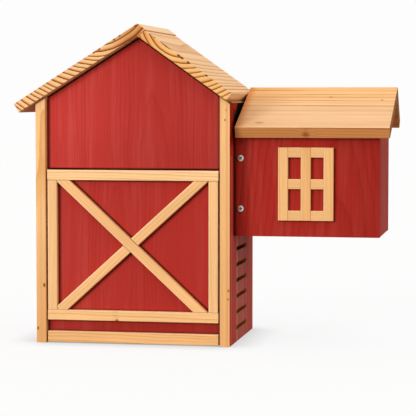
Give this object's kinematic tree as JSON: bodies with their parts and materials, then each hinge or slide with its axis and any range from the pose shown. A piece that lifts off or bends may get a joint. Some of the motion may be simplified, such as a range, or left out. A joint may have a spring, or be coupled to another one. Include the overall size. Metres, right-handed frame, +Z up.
{
  "type": "squirrel house",
  "caption": "Wooden barn-shaped squirrel house with a swinging X-braced front, a slotted ladder on the side, and a side annex with a pitched roof and a mock window.",
  "frame": {"origin": "centre of the main box's base, on the underside of its floor", "axes": "-Y is the front with the door, +Y the back, +X towards the annex, +Z up"},
  "size_m": [0.4765, 0.1905, 0.4064],
  "materials": {
    "stained_wood": "red stain, matt",
    "natural_wood": "planed pine, bare",
    "steel": "zinc plated"
  },
  "bodies": {
    "house": {"left_side_panel": "stained_wood", "right_side_panel": "stained_wood", "left_post": "natural_wood", "right_post": "natural_wood", "back_panel": "stained_wood", "gable_front_panel": "stained_wood", "floor_panel": "natural_wood", "roof_left_board": "natural_wood", "roof_right_board": "natural_wood", "annex_front_panel": "stained_wood", "annex_back_panel": "stained_wood", "annex_end_panel": "stained_wood", "annex_floor_panel": "stained_wood", "annex_roof_front_board": "natural_wood", "annex_roof_rear_board": "natural_wood", "annex_front_cleat": "natural_wood", "annex_back_cleat": "natural_wood", "annex_front_screws": "steel", "annex_back_screws": "steel", "cleat_screws": "steel", "window_left_upright": "natural_wood", "window_middle_upright": "natural_wood", "window_right_upright": "natural_wood", "window_top_rails": "natural_wood", "window_middle_rails": "natural_wood", "window_bottom_rails": "natural_wood"},
    "door": {"door_panel": "stained_wood", "door_top_rail": "natural_wood", "door_bottom_rail": "natural_wood", "door_left_stile": "natural_wood", "door_right_stile": "natural_wood", "door_long_brace": "natural_wood", "door_upper_brace": "natural_wood", "door_lower_brace": "natural_wood", "door_kick_bar": "natural_wood", "door_pivot_pins": "steel"}
  },
  "joints": [
    {"name": "door_pivot", "type": "hinge", "parent": "house", "child": "door", "pos_m": [0, -0.08, 0.162], "axis": [-1, 0, 0], "range_deg": [0, 110]}
  ]
}
